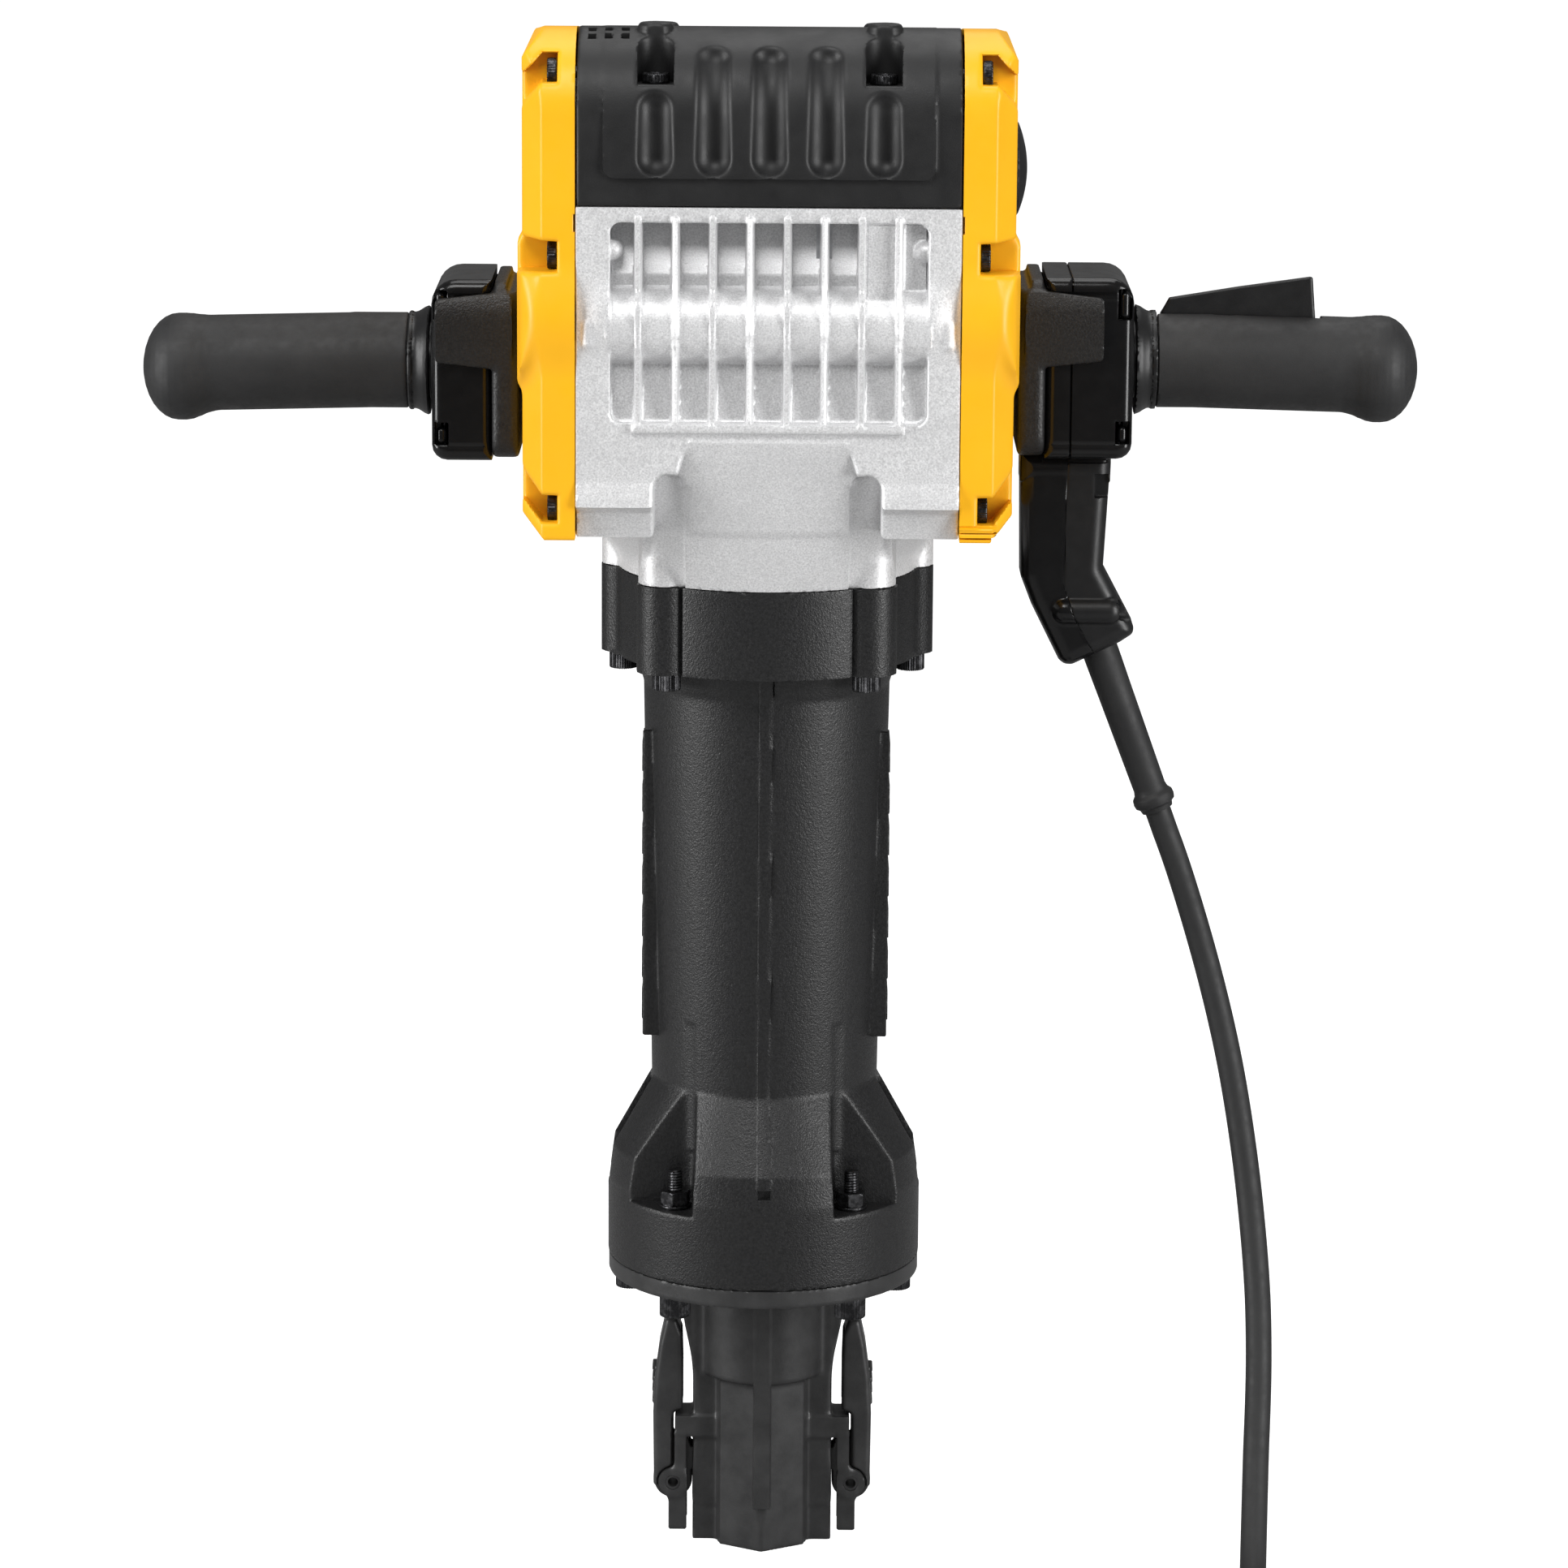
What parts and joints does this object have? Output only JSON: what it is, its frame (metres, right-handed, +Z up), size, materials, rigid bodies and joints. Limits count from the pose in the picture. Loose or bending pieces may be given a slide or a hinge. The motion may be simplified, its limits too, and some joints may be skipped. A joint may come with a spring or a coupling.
{
  "type": "electric demolition hammer",
  "caption": "Upright electric pavement breaker: geared motor housing with side covers, slim barrel, hex tool socket with twin latches, two sprung side handles, trigger and coiled mains cord.",
  "frame": {"origin": "centre of the tool socket's mouth, on the nose's end face", "axes": "+Z up along the barrel towards the motor, +X towards the handle with the trigger, +Y the back of the housing"},
  "size_m": [0.668, 0.487, 0.83],
  "materials": {
    "cast_aluminium": "bare sand cast, faintly speckled",
    "moulded_black": "fine matte grain",
    "yellow_shell": "satin moulded",
    "black_casting": "black textured coat on cast aluminium",
    "black_steel": "black oxide with a satin sheen",
    "housing_plastic": "smooth semi-gloss",
    "grip_rubber": "matte",
    "steel": "machined",
    "inner_aluminium": "machined",
    "copper_part": "machined",
    "cord_rubber": "matte",
    "plug_brass": "polished"
  },
  "bodies": {
    "root": {"gearcase": "cast_aluminium", "motor_cover": "moulded_black", "left_side_cover": "yellow_shell", "right_side_cover": "yellow_shell", "service_cap": "moulded_black", "cover_screws": "black_steel", "barrel": "black_casting", "barrel_bolts": "black_steel", "tool_holder": "black_steel", "holder_bolts": "black_steel", "holder_nuts": "black_steel", "latch_pins": "black_steel", "latch_spring_left": "steel", "latch_spring_right": "steel", "left_handle_bracket": "black_casting", "left_handle_housing": "housing_plastic", "left_pivot_pin": "steel", "left_handle_springs": "steel", "right_handle_bracket": "black_casting", "right_handle_housing_inner": "housing_plastic", "right_handle_housing_outer": "housing_plastic", "right_pivot_pin": "steel", "right_handle_springs": "steel", "cord_arm_inner": "housing_plastic", "cord_arm_outer": "housing_plastic", "cord_arm_screws": "steel", "strain_relief": "cord_rubber", "cord_tube": "cord_rubber", "cord_coil": "cord_rubber", "plug_body": "cord_rubber", "plug_blades": "plug_brass", "motor_stator": "steel", "motor_end_bracket": "inner_aluminium", "motor_bulkhead": "inner_aluminium", "gear_plate": "inner_aluminium", "brush_holders": "copper_part", "shaft_bearings": "steel", "cylinder_sleeve": "steel", "beat_piece_bush": "steel"},
    "left_latch": {"latch_lever_left": "black_steel"},
    "right_latch": {"latch_lever_right": "black_steel"},
    "left_handle": {"left_handle_arm": "housing_plastic", "left_grip": "grip_rubber"},
    "right_handle": {"right_handle_arm": "housing_plastic", "right_grip": "grip_rubber", "trigger_pin": "steel", "trigger_spring": "steel", "power_switch": "moulded_black"},
    "trigger": {"trigger": "housing_plastic"},
    "armature": {"armature": "steel", "commutator": "copper_part", "cooling_fan": "moulded_black"},
    "intermediate_gear": {"intermediate_gear": "steel"},
    "crankshaft": {"crankshaft": "steel", "crank_gear": "steel"},
    "connecting_rod": {"connecting_rod": "steel", "wrist_pin": "steel"},
    "piston": {"piston": "inner_aluminium"},
    "ram": {"ram": "steel"},
    "beat_piece": {"beat_piece": "steel"}
  },
  "joints": [
    {"name": "left_latch_pivot", "type": "hinge", "parent": "root", "child": "left_latch", "pos_m": [-0.0483, 0, 0.033], "axis": [0, -1, 0], "range_deg": [0, 13], "stiffness_Nm_per_rad": 4, "springref_deg": -5.73, "deforming": ["latch_spring_left"]},
    {"name": "right_latch_pivot", "type": "hinge", "parent": "root", "child": "right_latch", "pos_m": [0.0483, 0, 0.033], "axis": [0, 1, 0], "range_deg": [0, 13], "stiffness_Nm_per_rad": 4, "springref_deg": -5.73, "deforming": ["latch_spring_right"]},
    {"name": "left_handle_pivot", "type": "hinge", "parent": "root", "child": "left_handle", "pos_m": [-0.1545, 0, 0.6455], "axis": [0, 1, 0], "range_deg": [-3, 3], "stiffness_Nm_per_rad": 300, "deforming": ["left_handle_springs"]},
    {"name": "right_handle_pivot", "type": "hinge", "parent": "root", "child": "right_handle", "pos_m": [0.1655, 0, 0.6485], "axis": [0, 1, 0], "range_deg": [-3, 3], "stiffness_Nm_per_rad": 300, "deforming": ["right_handle_springs"]},
    {"name": "trigger_press", "type": "hinge", "parent": "right_handle", "child": "trigger", "pos_m": [0.209, 0, 0.659], "axis": [0, 1, 0], "range_deg": [0, 7], "stiffness_Nm_per_rad": 3, "springref_deg": -5.73, "deforming": ["trigger_spring"]},
    {"name": "armature_spin", "type": "hinge", "parent": "root", "child": "armature", "pos_m": [0, 0, 0.776], "axis": [1, 0, 0], "continuous": true},
    {"name": "intermediate_spin", "type": "hinge", "parent": "root", "child": "intermediate_gear", "pos_m": [0, 0.0212, 0.73673], "axis": [1, 0, 0], "continuous": true},
    {"name": "crank_spin", "type": "hinge", "parent": "root", "child": "crankshaft", "pos_m": [0, 0, 0.681], "axis": [1, 0, 0], "continuous": true},
    {"name": "rod_swing", "type": "hinge", "parent": "crankshaft", "child": "connecting_rod", "pos_m": [0, 0, 0.661], "axis": [1, 0, 0], "continuous": true},
    {"name": "piston_slide", "type": "slide", "parent": "root", "child": "piston", "axis": [0, 0, 1], "range_m": [0, 0.04]},
    {"name": "ram_slide", "type": "slide", "parent": "root", "child": "ram", "axis": [0, 0, 1], "range_m": [0, 0.08]},
    {"name": "beat_piece_slide", "type": "slide", "parent": "root", "child": "beat_piece", "axis": [0, 0, 1], "range_m": [0, 0.015]}
  ],
  "couplings": [
    {"joint": "intermediate_spin", "follows": "armature_spin", "ratio": -0.21429},
    {"joint": "crank_spin", "follows": "armature_spin", "ratio": 0.069643},
    {"joint": "rod_swing", "follows": "armature_spin", "ratio": -0.069643}
  ]
}
